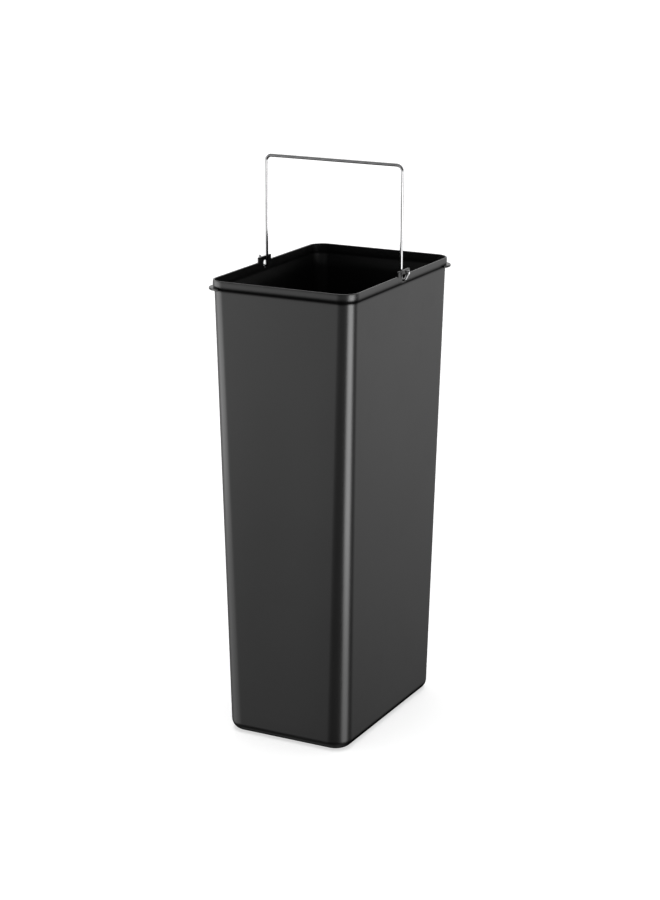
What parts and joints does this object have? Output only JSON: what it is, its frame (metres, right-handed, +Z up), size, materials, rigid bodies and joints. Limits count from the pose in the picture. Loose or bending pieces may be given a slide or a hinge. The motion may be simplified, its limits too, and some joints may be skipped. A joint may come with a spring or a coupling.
{
  "type": "waste bin inner bucket",
  "caption": "Tall slim tapered rectangular plastic inner bucket with a rim collar, pivot ears, corner finger lugs and a swinging chromed wire bail handle.",
  "frame": {"origin": "centre of the underside, on the surface that the bucket stands on", "axes": "+Z up through the open top, X along the short face and the handle's pivot axis, Y along the long sides"},
  "size_m": [0.2166, 0.2972, 0.7387],
  "materials": {
    "black_plastic": "satin moulded black polypropylene",
    "chromed_wire": "bright chromed round steel wire"
  },
  "bodies": {
    "bucket": {"bucket_shell": "black_plastic"},
    "bail": {"bail_handle": "chromed_wire"}
  },
  "joints": [
    {"name": "bail_pivot", "type": "hinge", "parent": "bucket", "child": "bail", "pos_m": [0, 0, 0.5936], "axis": [1, 0, 0], "range_deg": [-86, 86]}
  ]
}
